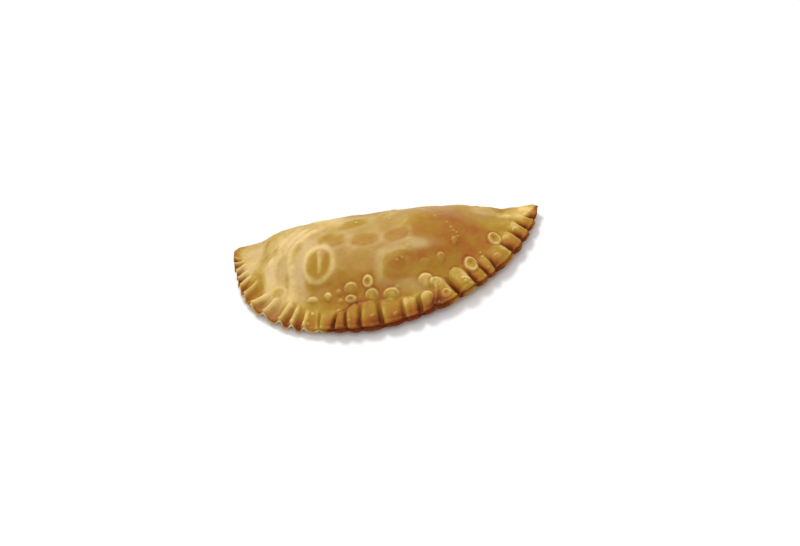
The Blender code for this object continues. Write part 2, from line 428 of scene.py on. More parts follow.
PATCHES = (
    Patch(2, -28, 72, 40, 0, 0.0, 0.22, 0.8),
    Patch(-38, -33, 30, 32, 0, -0.18, 0.42, 0.8),
    Patch(0, -39, 48, 26, 0, 0.1, -0.04, 0.8),
    Patch(-30, -12, 36, 20, 5, -0.14, 0.16, 0.8),
    Patch(-61, -12, 16, 24, 0, -0.18, 0.45, 0.7),
    Patch(36, -30.5, 36, 33, 15, 0.26, -1.0, 0.55),
    Patch(40, -38, 24, 12, 30, -0.08, 0.0, 0.8),
    Patch(36, -10, 34, 14, 0, 0.12, 0.15, 0.8),
    Patch(18.9, -36.2, 26, 6, 12, -0.05, 0.35, 0.8),
    Patch(23.0, -33.0, 8, 10, 30, -0.04, 0.12, 0.9),
    Patch(7, -43.5, 4.5, 14, -12, -0.03, 0.22, 0.9),
    Patch(14, -51.0, 22, 6, 0, 0.02, 0.35, 0.8),
    Patch(-28, -48.5, 14, 7, 0, 0.02, 0.15, 0.8),
    Patch(-14, -46.5, 11, 7, 0, 0.08, -0.5, 0.9),
    Patch(15.0, -43.7, 12.5, 9.5, 20, 0.12, -0.9, 0.6),
    Patch(-14.8, -27.7, 17, 11, -15, -0.03, 0.3, 0.7),
    Patch(-0.2, -30.0, 16, 11, -5, -0.03, 0.3, 0.7),
    Patch(14.2, -30.0, 13, 10.5, 3, -0.03, 0.3, 0.7),
    Patch(-6.9, -17.3, 18, 12, 20, -0.03, 0.35, 0.7),
    Patch(-14.8, -27.7, 12.4, 7.0, -15, 0.07, -0.9, 1.0),
    Patch(-0.2, -30.0, 11.8, 7.0, -5, 0.09, -0.9, 1.0),
    Patch(14.2, -30.0, 9.4, 6.6, 3, 0.09, -0.9, 1.0),
    Patch(-6.9, -17.3, 13.2, 7.8, 20, 0.11, -0.9, 0.9),
    Patch(-20.7, -39.0, 19.0, 21.0, -5, -0.05, 0.22, 0.7),
    Patch(-23.6, -39.4, 7.6, 17, -3, 0.05, -0.5, 0.9),
    Patch(-16.6, -40.4, 4.6, 12, -8, 0.03, -0.4, 0.9),
    Patch(-20.3, -45.2, 12, 5.0, -5, 0.06, -0.2, 1.0),
    Patch(-46.1, -30.7, 7, 14, -10, -0.14, 0.25, 0.8),
    Patch(-41.8, -41.5, 9, 5.0, -15, 0.04, -0.3, 0.9),
    Patch(-43.2, -21.3, 7, 6, -15, 0.08, -0.4, 0.8),
    Patch(-36.2, -39.1, 3.4, 5.4, -15, 0.1, -0.4, 1.0),
    Patch(-31.4, -29.4, 5.0, 8.0, -30, 0.1, -0.4, 1.0),
    Patch(-53.5, -32.5, 10, 14, 30, 0.1, -0.6, 0.9),
    Patch(-1, -54, 36, 13, 5, 0.14, -0.3, 0.8),
    # Painted shade behind the ledge of the front ridges
    Patch(-7.8, -58.2, 13, 4, 25, 0.22, -0.3, 0.9),
    Patch(-67.5, -14, 7, 24, 10, 0.14, -0.3, 0.9),
    Patch(60.5, -5.5, 15, 9, 15, -0.26, 0.0, 0.7),
    Patch(65.5, -2.2, 8, 4, 5, -0.06, 0.0, 0.7),
    # Painted shadow under the lump of the right tip
    Patch(65.6, -6.4, 8, 3.2, -50, 0.1, -0.3, 0.8),
    Patch(69.6, -2.4, 2.6, 3.2, 0, 0.5, 0.0, 0.7),
    Patch(48, -6, 10, 8, 0, -0.1, 0.3, 0.8),
    Patch(22.0, 0.4, 11, 3.4, 8, 0.06, -0.4, 0.9),
    Patch(-14.0, 1.0, 8, 2.4, -12, 0.06, -0.4, 0.9),
    Patch(-2, 0.5, 44, 5, 0, 0.16, 0.1, 0.9),
)


@dataclass(frozen=True)
class EdgeFace:
    """The rim's outer face, where the two layers of dough meet.

    Places and widths up the face are shares of its height. How far things stand out is in millimetres.

    Attributes:
        slot_at: How high the slot between the layers is.
        slot_width: How wide the slot is.
        slot_depth: How deep the slot is.
        slot_wander: How far the slot wanders up and down.
        lip_at: How high the lip below it is.
        lip_width: How wide the lip is.
        lip_out: How far the lip stands out.
        lip_wave: How much that changes along the rim.
        lip_fray: How much it frays.
        bulge: How far the middle of a ridge stands out past its sides.
        notch: How far the edge steps in at a groove.
        setback: How far the whole edge is drawn in, to leave room for its bulges.
        pressed_share: How much of these three a finger press keeps.
        pressed_lean: How far the top of the face leans back at a finger press.
        squeezed_out: How far a press 2 mm deep squeezes the lip out.
        tuck: How far the underside and the foot of the face are tucked in.
        tuck_height: How high up the face the tuck runs.
        bead: How high the bead just inside the edge stands.
        groove_below: How much of a groove's depth the underside is pulled up by.
        press_below: How much of a finger press's depth the underside is pushed down by.
        curl_below: How much of the front edge's curl the underside follows.
    """

    slot_at: float = 0.75
    slot_width: float = 0.13
    slot_depth: float = 1.1
    slot_wander: float = 0.06
    lip_at: float = 0.45
    lip_width: float = 0.2
    lip_out: float = 0.6
    lip_wave: float = 0.25
    lip_fray: float = 0.3
    bulge: float = 1.3
    notch: float = 0.4
    setback: float = 1.35
    pressed_share: float = 0.4
    pressed_lean: float = 0.5
    squeezed_out: float = 0.5
    tuck: float = 1.3
    tuck_height: float = 0.45
    bead: float = 0.3
    groove_below: float = 0.2
    press_below: float = 0.55
    curl_below: float = 0.5


@dataclass(frozen=True)
class FryingAndShade:
    """How much each trait of the shape darkens the dough's colour, where 0 is pale and 1 is dark:
    partly how far the dough fried, and partly painted light and shade.

    Attributes:
        plain: Dough with no trait of its own.
        body_below: Added under the body.
        rim_below: Added under the rim.
        ridge: Added all over a ridge.
        ridge_end: Added at a ridge's outer end, partly as browner dough and partly as painted shade
            where the end turns down.
        end_shade_at_front: Added there along the front, as painted shade.
        end_at_right: Added there near the right tip.
        brink_highlight: A painted highlight, taken off the short side of a ridge.
        bead: A painted highlight, taken off the bead along the edge.
        lip: Added on the lip below the slot.
        lip_shade_at_front: Added there along the front, as painted shade.
        lip_at_right: Added there near the right tip.
        lip_lit_at_presses: Added there at the finger presses; it is below nothing, as painted light on
            a lip that faces down into shade.
        pleat: Taken off a pinched pleat.
        pale_skin_and_highlight: Taken off where a blister or a narrow crease pulls the skin thin, and
            as a painted highlight on a blister's lit border and a painted glint on a pimple.
        foot: Added round a blister's foot, as painted shade.
        proud: Painted light and shade: taken off what stands proud of its surroundings, and added in
            hollows.
        groove: The share of the darkest tone in a groove, as painted shade.
        slot: The same, in the slot of the edge's face, as painted shade.
    """

    plain: float = 0.38
    body_below: float = 0.12
    rim_below: float = 0.1
    ridge: float = -0.04
    ridge_end: float = 0.3
    end_shade_at_front: float = 0.4
    end_at_right: float = 0.15
    brink_highlight: float = 0.15
    bead: float = 0.25
    lip: float = -0.05
    lip_shade_at_front: float = 0.3
    lip_at_right: float = 0.1
    lip_lit_at_presses: float = -0.3
    pleat: float = 0.15
    pale_skin_and_highlight: float = 0.35
    foot: float = 0.1
    proud: float = 0.13
    groove: float = 0.45
    slot: float = 0.65


@dataclass
class FoldedDough:
    """The whole piece: a disc of dough, folded over its filling and pressed shut along the rim.

    A slope or a share has no unit; the other sizes are metres. What has its own value at the tips
    changes into it by a smooth step, from thin_from on.

    Attributes:
        length: The fold, from tip to tip.
        depth: The piece across the fold.
        fold_bulge: How far the filling pushes the fold out at the back.
        tip_bluntness: The radius of a tip.
        rim_width: How far in the rim is pressed.
        rim_share_at_tips: The most of a section that the rim takes.
        edge_top: The height of the rim's upper edge.
        edge_top_at_tips: The same at the tips.
        edge_underside: The height of the rim's lower edge.
        rim_slope: How steeply the rim's upper side rises inwards.
        rim_slope_at_tips: The same at the tips.
        underside_slope: How steeply its underside does.
        body_rise: How far the full body stands above the rim.
        steepest_rise: The most that the body rises, as a share of its section's run.
        full_to_the_right: How far the body is full to the right of the middle.
        empty_to_the_right: Where it has run out on that side.
        full_to_the_left: How far the body is full to the left.
        empty_to_the_left: Where it has run out on that side.
        crown_share: How far back over the body its crown lies.
        crown_share_at_tips: The same at the tips.
        fold_height: The height of the fold's outermost line behind the full body.
        fold_height_at_tips: The same where the body has run out.
        back_undercut: How far in from the fold the piece starts to rest.
        flat_half_length: How far from the middle the base is flat.
        belly_run: How far in from the rim the base starts.
        curl: How far the front edge curls down.
        thin_from: How far from the middle the dough starts to thin towards the tips.
        lift_start: How far from the middle the tips start to curl up.
        lift_lateness: The power by which that curl grows.
        right_tip_lift: How far the right tip curls up.
        left_tip_lift: How far the left tip does.
        left_drawn_in: How far the rim is drawn in on the left, in millimetres.
        end_margin: How far from a tip the first section is, in millimetres along the rim.
        stations: How many sections the surface has.
        edge_rows: How many rows run up the edge's face.
        rim_rows: How many run in over the rim.
        front_rows: How many run up the front of the body to its crown.
        back_rows: How many run down its back to the fold.
        heel_rows: How many run from there under the fold.
        base_rows: How many run over the base.
        belly_rows: How many run from the base up to the rim.
        underside_rows: How many run out under the rim.
        bend_easing: How often the bend between rim and body is eased.
        face: The edge's outer face.
        frying_and_shade: How the shape browns, and where light and shade are painted.
        zones: Which rows belong to which of these parts.
    """

    length: float = CAD_BOX[1].x - CAD_BOX[0].x
    depth: float = CAD_BOX[1].y - CAD_BOX[0].y
    fold_bulge: float = 2.5 * MM
    tip_bluntness: float = 1.3 * MM
    rim_width: float = 12.5 * MM
    rim_share_at_tips: float = 0.62
    edge_top: float = 5.0 * MM
    edge_top_at_tips: float = 3.6 * MM
    edge_underside: float = 2.4 * MM
    rim_slope: float = 0.36
    rim_slope_at_tips: float = 0.2
    underside_slope: float = 0.08
    body_rise: float = 13.4 * MM
    steepest_rise: float = 0.51
    full_to_the_right: float = 18 * MM
    empty_to_the_right: float = 57 * MM
    full_to_the_left: float = 24 * MM
    empty_to_the_left: float = 62 * MM
    crown_share: float = 0.42
    crown_share_at_tips: float = 0.75
    fold_height: float = 6.5 * MM
    fold_height_at_tips: float = 3.4 * MM
    back_undercut: float = 8 * MM
    flat_half_length: float = 44 * MM
    belly_run: float = 6 * MM
    curl: float = 1.2 * MM
    thin_from: float = 30 * MM
    lift_start: float = 46 * MM
    lift_lateness: float = 1.4
    right_tip_lift: float = 0.2 * MM
    left_tip_lift: float = 1.0 * MM
    left_drawn_in: float = 1.1
    end_margin: float = 0.6
    stations: int = 506
    edge_rows: int = 15
    rim_rows: int = 40
    front_rows: int = 60
    back_rows: int = 50
    heel_rows: int = 8
    base_rows: int = 6
    belly_rows: int = 6
    underside_rows: int = 11
    bend_easing: int = 110
    face: EdgeFace = EdgeFace()
    frying_and_shade: FryingAndShade = FryingAndShade()
    zones: dict[str, slice] = field(default_factory=dict)

    def __post_init__(self) -> None:
        """Works out what follows: half the length, the rim's depth and the fold's middle."""
        self.half_length = 0.5 * self.length
        self.rim_depth = self.depth - self.fold_bulge - self.tip_bluntness
        self.middle = np.array([0.0, CAD_BOX[1].y - self.fold_bulge, CAD_BOX[0].z])

    def lay_stations(self) -> None:
        """Spreads the sections evenly, in millimetres along the rim from the right tip to the left."""
        whole = sum(ridge.width for ridge in RIDGES)
        self.along = np.linspace(self.end_margin, whole - self.end_margin, self.stations)[:, None]
        self.angle = math.pi * self.along / whole

    def fullness(self, x: np.ndarray) -> np.ndarray:
        """Gives how full the body is along the fold.

        Args:
            x: Places along the fold, in metres.

        Returns:
            1 in the middle, falling to 0 near the tips by a smooth step to each side.
        """
        right = (x - self.full_to_the_right) / (self.empty_to_the_right - self.full_to_the_right)
        left = (-x - self.full_to_the_left) / (self.empty_to_the_left - self.full_to_the_left)
        return 1 - ease(np.maximum(right, left))

    def lay_sections(self) -> None:
        """Works out each section's path and main heights.

        A path over the ground is a quadratic curve: from the edge, a half ellipse, it leaves squarely
        inwards, and ends on the fold, whose stations keep the same order and even spacing. The crown
        stands above the rim by the body's rise times its fullness, held to the steepest rise. The base
        is lifted by a smooth step past its flat length.
        """
        out = np.concatenate([np.cos(self.angle), -np.sin(self.angle)], axis=1)
        self.outwards = out
        self.edge = out * [self.half_length, self.rim_depth] - [0, self.tip_bluntness]
        fold_x = (self.half_length - self.tip_bluntness) * (1 - 2 * self.angle / math.pi)
        fold_y = self.fold_bulge * (1 - (fold_x / self.half_length) ** 2)
        self.fold = np.concatenate([fold_x, fold_y], axis=1)
        self.reach = np.linalg.norm(self.edge - self.fold, axis=1, keepdims=True)
        self.bend = self.edge - 0.5 * self.reach * out
        self.rim = np.minimum(self.rim_width, self.rim_share_at_tips * self.reach)
        thin = ease((np.abs(fold_x) - self.thin_from) / (self.half_length - self.thin_from))
        self.thin = thin
        self.top = self.edge_top + (self.edge_top_at_tips - self.edge_top) * thin
        self.slope = self.rim_slope + (self.rim_slope_at_tips - self.rim_slope) * thin
        self.rim_top = self.top + self.slope * self.rim
        body = self.reach - self.rim
        fill = self.fullness(fold_x)
        self.crown = self.rim_top + np.minimum(self.body_rise * fill, self.steepest_rise * body)
        crown_share = self.crown_share + (self.crown_share_at_tips - self.crown_share) * thin
        self.crown_at = self.rim + crown_share * body
        self.back = self.fold_height_at_tips + (self.fold_height - self.fold_height_at_tips) * fill
        taper = (np.abs(fold_x) - self.flat_half_length) / (self.half_length - self.flat_half_length)
        self.base = self.edge_underside * ease(taper)
        self.heel_at = self.reach - np.minimum(self.back_undercut, 0.3 * self.reach)
        self.belly_at = np.minimum(self.rim + self.belly_run, 0.5 * (self.rim + self.heel_at))

    def lay_rows(self) -> None:
        """Lays the rows of all zones, as a distance in from the edge and a height for each.

        The edge, the rim, the base and the underside are straight. The front of the body rises as one
        less the square of the way left to the crown, and at the tips by a smooth step. The back and the
        heel are quarter ellipses, and the belly is a smooth step. The bend between the rim and the body
        is eased: there each row's height is averaged with its neighbours' over and over.
        """
        flat = np.ones_like(self.reach)
        inner = self.edge_underside + self.underside_slope * self.rim
        rows: list[tuple[str, np.ndarray, np.ndarray]] = []

        part = np.linspace(0, 1, self.edge_rows, endpoint=False)[None, :]
        height = self.edge_underside + (self.top - self.edge_underside) * part
        rows.append(("edge", 0 * flat * part, height))

        part = np.linspace(0, 1, self.rim_rows, endpoint=False)[None, :]
        rows.append(("rim", self.rim * part, self.top + self.slope * self.rim * part))

        part = np.linspace(0, 1, self.front_rows, endpoint=False)[None, :]
        rounded = (1 - self.thin) * (1 - (1 - part) ** 2) + self.thin * ease(part)
        height = self.rim_top + (self.crown - self.rim_top) * rounded
        rows.append(("front", self.rim + part * (self.crown_at - self.rim), height))

        turn = 0.5 * math.pi * np.linspace(0, 1, self.back_rows)[None, :]
        inwards = self.crown_at + np.sin(turn) * (self.reach - self.crown_at)
        rows.append(("back", inwards, self.back + np.cos(turn) * (self.crown - self.back)))

        turn = 0.5 * math.pi * np.linspace(0, 1, self.heel_rows + 1)[None, 1:]
        inwards = self.heel_at + (self.reach - self.heel_at) * np.cos(turn)
        rows.append(("heel", inwards, self.base + (self.back - self.base) * (1 - np.sin(turn))))

        part = np.linspace(0, 1, self.base_rows + 1)[None, 1:]
        inwards = self.heel_at + (self.belly_at - self.heel_at) * part
        rows.append(("base", inwards, self.base + 0 * part))

        part = np.linspace(0, 1, self.belly_rows + 1)[None, 1:]
        inwards = self.belly_at + (self.rim - self.belly_at) * part
        rows.append(("belly", inwards, self.base + (inner - self.base) * ease(part)))

        part = np.linspace(1, 0, self.underside_rows + 1)[None, 1:-1]
        height = self.edge_underside + self.underside_slope * self.rim * part
        rows.append(("underside", self.rim * part, height))

        start = 0
        for name, inwards, _ in rows:
            self.zones[name] = slice(start, start + inwards.shape[1])
            start += inwards.shape[1]
        self.inwards = np.concatenate([inwards for _, inwards, _ in rows], axis=1)
        self.height = np.concatenate([height for _, _, height in rows], axis=1)
        bend = slice(self.zones["rim"].start + self.rim_rows // 2, self.zones["back"].start)
        for _ in range(self.bend_easing):
            height = self.height[:, bend]
            height[:, 1:-1] = 0.5 * height[:, 1:-1] + 0.25 * (height[:, :-2] + height[:, 2:])

    def zone(self, *names: str) -> np.ndarray:
        """Marks the rows of some zones.

        Args:
            names: The zones.

        Returns:
            1 for their rows and 0 for the others.
        """
        rows = np.zeros((1, self.inwards.shape[1]))
        for name in names:
            rows[:, self.zones[name]] = 1.0
        return rows

    def place(self) -> np.ndarray:
        """Puts the rows over the ground and curls the tips up, by a power of a smooth step.

        Returns:
            Stations by rows by x, y and z, from the middle of the fold.
        """
        part = (self.inwards / self.reach)[..., None]
        path = (
            (1 - part) ** 2 * self.edge[:, None]
            + 2 * part * (1 - part) * self.bend[:, None]
            + part**2 * self.fold[:, None]
        )
        x = path[..., 0]
        lift = np.where(x > 0, self.right_tip_lift, self.left_tip_lift)
        past = (np.abs(x) - self.lift_start) / (self.half_length - self.lift_start)
        height = self.height + lift * ease(past) ** self.lift_lateness
        return np.stack([x, path[..., 1], height], axis=-1)

    def normals(self, points: np.ndarray) -> np.ndarray:
        """Works out which way the surface faces: the cross product of the two grid directions.

        Args:
            points: Stations by rows by x, y and z.

        Returns:
            The outward direction at each point, of length 1.
        """
        along = np.gradient(points, axis=0)
        across = np.roll(points, -1, axis=1) - np.roll(points, 1, axis=1)
        normal = np.cross(across, along)
        size = np.linalg.norm(normal, axis=-1, keepdims=True)
        return normal / np.maximum(size, 1e-12)

    def lay_ridge_lines(self) -> None:
        """Works out where each ridge's sides run, and each place's inset as if the rim were full width.

        A side wanders by its slant, in step with the inset, over the first 8 mm.
        """
        self.scale = self.rim / self.rim_width
        self.inset = self.inwards / self.scale
        starts = np.concatenate([[0.0], np.cumsum([ridge.width for ridge in RIDGES])])
        slants = np.array([0.0] + [ridge.slant for ridge in RIDGES])
        wander = np.clip(self.inset / (8 * MM), 0, 1)
        self.lines = [start + slant * wander for start, slant in zip(starts, slants)]
        self.centres = 0.5 * (starts[:-1] + starts[1:])

    def lay_ridges(self) -> None:
        """Works out the relief of the ridges and of the finger presses over the grid, in metres.

        A ridge is a pillow: one less the power of the distance from its crest, as a share of the way to
        either side. Inwards both it and its ledge end in a quarter ellipse, shorter and crisper on a
        high ledge, and the pillow's corners are rounded off. Outwards it is rounded down by a square
        over the last 2.4 mm. A finger press is a smooth step down from both sides, and fades out
        inwards. A flank is a ridge's longer side, by a smooth step, and is painted darker, partly as
        browner dough and partly as painted shade on the side turned from the light; a finger press is
        painted darker over its hollow in the same way. A painted highlight lies as a bell halfway up a
        ridge's shorter side.
        """
        reach = np.interp(self.along, self.centres, [ridge.reach * MM for ridge in RIDGES])
        ledge = np.interp(self.along, self.centres, [ridge.ledge * MM for ridge in RIDGES])
        end = np.interp(ledge, [0.0, 0.8 * MM], [0.85, 0.35]) * reach
        crispness = np.interp(ledge, [0.0, 0.8 * MM], [1.5, 0.5])
        inner = np.clip((self.inset - reach) / end + 1, 0, 1)
        fading = 1 - ease((self.inset / reach - 0.3) / 0.7)
        rounding = np.clip(1 - self.inwards / (2.4 * MM), 0, 1) ** 2
        rise = ledge * np.sqrt(np.clip(1 - inner**2, 0, None))
        dish = np.zeros_like(rise)
        self.bulge = np.zeros_like(rise)
        self.flank = np.zeros_like(rise)
        self.brink_highlight = np.zeros_like(rise)
        for ridge, left, right in zip(RIDGES, self.lines, self.lines[1:]):
            share = np.clip((self.along - left) / (right - left), 0, 1)
            inside = (self.along > left) & (self.along <= right)
            short, long = share / ridge.lean, (1 - share) / (1 - ridge.lean)
            side = np.minimum(short, long)
            if ridge.crest > 0:
                back = (1 - (1 - np.minimum(side, 1)) ** ridge.squareness) * inside
                corner = np.clip(inner**2 / (1 - 0.9 * (1 - np.minimum(side, 1)) ** 2), 0, 1)
                rise += ridge.crest * MM * back * ((1 - corner) ** crispness - 0.75 * rounding)
                steep, gentle = (short, long) if ridge.lean < 0.5 else (long, short)
                # Painted darker on the long side, partly browner dough and partly painted shade; a
                # painted highlight halfway up the short side
                self.flank += ridge.shade_and_toast * ease((0.7 - gentle) / 0.6) * inside * fading
                self.brink_highlight += bell(steep - 0.5, 0.3) * inside * fading
            else:
                back = ease(ridge.squareness * side) * inside
                dish -= ridge.crest * MM * back * fading
                # Painted darker over the press's hollow, partly browner dough and partly painted shade
                self.flank += ridge.shade_and_toast * back * fading
            self.bulge += 4 * share * (1 - share) * inside

        upper = self.zone("edge", "rim", "front")
        self.rise = rise * upper * self.scale
        self.dish = dish * upper * self.scale
        self.raised = ease(rise / (0.4 * MM)) * upper
        pressed = [float(ridge.crest < 0) for ridge in RIDGES]
        self.scooped = np.interp(self.along, self.centres, pressed)

    def lay_grooves(self) -> None:
        """Works out the grooves and pinched pleats between the ridges over the grid, in metres.

        A groove is flat-bottomed: one over one and the fourth power of the distance, as a share of half
        its width. It is a quarter shallower at the very edge. A pleat is a bell. Both fade out over the
        inner half of the ridges' reach.
        """
        cut = np.zeros_like(self.inset)
        pleat = np.zeros_like(self.inset)
        self.notch = np.zeros_like(self.inset)
        for ridge, line, following in zip(RIDGES, self.lines[1:-1], RIDGES[1:]):
            away = np.abs(self.along - line)
            run = 0.5 * (ridge.reach + following.reach) * MM
            fade = 1 - ease((self.inset / run - 0.5) / 0.5)
            into = 0.75 + 0.25 * ease(self.inset / (3 * MM))
            if ridge.groove > 0:
                across = 1 / (1 + (2 * away / ridge.gap) ** 4)
                cut = np.maximum(cut, ridge.groove * MM * across * into * fade)
            else:
                across = bell(away, 0.5 * ridge.gap)
                pleat = np.maximum(pleat, -ridge.groove * MM * across * fade)
            self.notch = np.maximum(self.notch, across)
        upper = self.zone("edge", "rim", "front")
        self.groove = cut * upper * self.scale
        self.pleat = pleat * upper * self.scale

    def press_rim(self, points: np.ndarray) -> np.ndarray:
        """Presses the ridges and grooves into the rim, curls its front edge down and frays it.

        The underside follows each press by a share, and the edge's face stretches between the two. The
        front edge, from 75 to 138 mm along the rim, curls down by the square of the nearness to it. The
        bead, the face's lip and its slot are bells, and the last two wander along the rim. The edge
        bulges at each ridge, steps in at each groove and is tucked in below.

        Args:
            points: Stations by rows by x, y and z.

        Returns:
            The points, moved.
        """
        face = self.face
        up_face = np.zeros_like(self.height)
        up_face[:, self.zones["edge"]] = np.linspace(0, 1, self.edge_rows, endpoint=False)
        edge = self.zone("edge")
        outermost = self.zones["rim"].start
        dished = self.dish[:, outermost, None]
        cut = self.groove[:, outermost, None]
        curl = self.curl * ease((self.along - 75) / 30) * ease((138 - self.along) / 30)
        drop = curl * np.clip(1 - self.inwards / (4.5 * MM), 0, 1) ** 2
        bead = face.bead * MM * bell(self.inwards - 0.6 * MM, 0.45 * MM) * self.scale
        upper = self.rise - self.groove + self.pleat - self.dish - drop + bead * self.zone("rim")
        below = face.groove_below * cut - face.press_below * dished - face.curl_below * curl
        below = below * (1 - ease(self.inwards / self.rim))
        moved = points.copy()
        moved[..., 2] += upper * (self.zone("rim", "front") + up_face)
        moved[..., 2] += below * (self.zone("underside") + edge - up_face)

        edge_line = np.concatenate([self.edge, 0 * self.reach], axis=1) / MM
        wave = unevenness(edge_line, 8.0, 3)[:, None]
        ruffle = unevenness(edge_line, 3.5, 4)[:, None]
        raised = 1 - self.scooped
        off_slot = up_face - face.slot_at - face.slot_wander * wave
        self.slot = bell(off_slot, face.slot_width) * edge * raised
        self.lip = bell(up_face - face.lip_at, face.lip_width) * edge
        lips = self.lip * (face.lip_out + face.lip_wave * wave + face.lip_fray * ruffle)
        lips -= face.slot_depth * self.slot
        lips -= face.pressed_lean * self.scooped * edge * ease(up_face / 0.6)
        near_edge = np.clip(1 - self.inwards / (4 * MM), 0, 1) * self.zone("edge", "rim", "underside")
        steps = (face.bulge * self.bulge - face.notch * self.notch - face.setback) * near_edge
        out = lips + steps * (raised + face.pressed_share * self.scooped)
        out += face.squeezed_out * self.scooped * dished / (2 * MM) * self.lip
        tucked = self.zone("underside") + edge * np.clip(1 - up_face / face.tuck_height, 0, 1) ** 2
        out -= face.tuck * tucked * near_edge
        out -= self.left_drawn_in * bell(self.along - 193, 11) * near_edge
        moved[..., :2] += (out * MM * self.scale)[..., None] * self.outwards[:, None]
        return moved

    def around(
        self, blister: Blister, places: np.ndarray, normal: np.ndarray
    ) -> tuple[np.ndarray, np.ndarray]:
        """Measures each point from a blister's middle, in the dough's plane there.

        A dome reaches 1.35 times as far downhill. What lies over 5 mm off the plane is on another side
        of the piece, and is counted as far away.

        Args:
            blister: The blister.
            places: Stations by rows by x, y and z, in millimetres.
            normal: The outward direction at each of them.

        Returns:
            The distance as a share of the blister's radii, and uphill: 1 straight up the slope from the
            middle, 0 level with it, -1 straight down.
        """
        hidden = self.zone("rim", "front", "back") < 1
        off_plan = np.hypot(places[..., 0] - blister.x, places[..., 1] - blister.y) + 1e3 * hidden
        middle = np.unravel_index(np.argmin(off_plan), off_plan.shape)
        up = normal[middle]
        turn = math.radians(blister.turn)
        first = np.array([math.cos(turn), math.sin(turn), 0.0])
        first -= up * (first @ up)
        first /= np.linalg.norm(first)
        second = np.cross(up, first)
        offset = places - places[middle]
        uphill = (offset @ second) / np.maximum(np.linalg.norm(offset, axis=-1), 0.1)
        stretch = 1.35 if blister.kind is Swelling.DOME else 1.0
        length = blister.length * np.where(uphill < 0, stretch, 1.0)
        away = np.hypot(2 * (offset @ first) / blister.width, 2 * (offset @ second) / length)
        return away + 9.0 * (np.abs(offset @ up) > 5.0), uphill

    def swell(self, points: np.ndarray, normal: np.ndarray) -> np.ndarray:
        """Raises the blisters and creases along the dough's outward direction.

        A blister stands out by its rise times its shape, and a crease is a bell of the distance from
        its line. A bell just outside a round blister marks its foot, where painted shade goes. A
        blister's border and a narrow crease are painted paler, partly as skin pulled thin and, at a
        blister, partly as a painted highlight; swells and dips 6 mm wide or more aren't. Last come
        three random fields: one over the body, and two finer ones all over the upper side.

        Args:
            points: Stations by rows by x, y and z.
            normal: The outward direction at each of them.

        Returns:
            The points, moved.
        """
        top = self.zone("rim", "front", "back")
        places = points / MM
        lift = np.zeros(points.shape[:2])
        self.pale_skin_and_highlight = np.zeros_like(lift)
        self.foot = np.zeros_like(lift)
        for blister in BLISTERS:
            away, uphill = self.around(blister, places, normal)
            lift += blister.rise * blister.shape(away, uphill)
            strength = min(1.0, max(0.0, 1.1 * blister.rise - 0.15)) * top
            # Paler skin at a blister's border, partly skin pulled thin and partly a painted highlight
            if blister.kind is not Swelling.HOLLOW:
                skin = strength * blister.stretch(away, uphill)
                self.pale_skin_and_highlight = np.maximum(self.pale_skin_and_highlight, skin)
            # Painted shade round the foot of a round blister
            if blister.kind in (Swelling.DOME, Swelling.RING):
                foot = strength * bell(away - 1.15, 0.2) * (0.5 + 0.2 * uphill)
                self.foot = np.maximum(self.foot, foot)
        for crease in CREASES:
            near = bell(crease.distance(places[..., 0], places[..., 1]), 0.5 * crease.width)
            lift += crease.rise * near
            # Narrow creases are painted paler along their line
            self.pale_skin_and_highlight = np.maximum(self.pale_skin_and_highlight, 0.5 * near * top * (crease.width < 6))
        self.relief = self.rise - self.groove + self.pleat - self.dish + lift * top * MM
        lift += 0.35 * unevenness(places, 26.0, 11) * ease(self.inwards / self.rim - 0.6)
        lift += 0.12 * unevenness(places, 7.0, 12) + 0.05 * unevenness(places, 2.6, 13, 40)
        return points + normal * (lift * top * MM)[..., None]

    def proudness(self) -> np.ndarray:
        """Works out how the relief stands against its surroundings.

        The surroundings are the relief averaged with its neighbours' over and over, about 1 mm wide.

        Returns:
            The hyperbolic tangent of the difference over 0.25 mm: 1 on proud edges, -1 in hollows.
        """
        around = self.relief.copy()
        for _ in range(12):
            around[1:-1] = 0.5 * around[1:-1] + 0.25 * (around[:-2] + around[2:])
            around[:, 1:-1] = 0.5 * around[:, 1:-1] + 0.25 * (around[:, :-2] + around[:, 2:])
        return np.tanh((self.relief - around) / (0.25 * MM))

    def brown_and_shade(self, points: np.ndarray) -> dict[str, np.ndarray]:
        """Works out how the dough has fried, and where light and shade are painted into its colour, as
        one number for each point and each trait.

        The patches are laid over the plain tone in their order; a few of them paint shade. A ridge is
        painted darker towards its outer end by a power of the nearness to the edge, partly as browner
        dough and partly as painted shade where it turns down, more so along the front, where it is
        painted shade, and near the right tip, and on its flank, partly as painted shade. A finger press
        is painted darker most at its outer end, partly as painted shade in its hollow. Then come the
        painted highlight of the bead, the lip with painted shade along the front and painted light at
        the presses, the pleats, two random fields, the underside, the blisters with paler borders,
        painted highlights and painted shade round their feet, and painted light on what stands proud
        and painted shade where it lies low.

        Args:
            points: Stations by rows by x, y and z, from the middle of the fold.

        Returns:
            browning, 0 for pale dough to 1 for dark, which holds painted light and shade as well as
            browner dough; film, where a thin skin has lifted and stays whitish, and partly a painted
            sheen; crevice, painted shade in the grooves of the rim and the slot of its face.
        """
        frying_and_shade = self.frying_and_shade
        places = points / MM
        inset = self.inset / MM
        x, y = places[..., 0], places[..., 1]
        tone = np.full(x.shape, frying_and_shade.plain)
        film_and_sheen = np.zeros_like(tone)
        for patch in PATCHES:
            cover = patch.cover(x, y)
            tone += patch.browning_and_shade * cover
            film_and_sheen = np.clip(film_and_sheen, 0, 0.9) + patch.film_and_sheen * cover

        upper = self.zone("edge", "rim", "front")
        raised = self.raised * (1 - self.scooped)
        ridged = (1 - ease((inset - 9) / 5)) * upper * raised
        front = ease((y + 10) / -30) * ease((x + 25) / 15) * ease((42 - x) / 12)
        right = ease((x - 38) / 10)
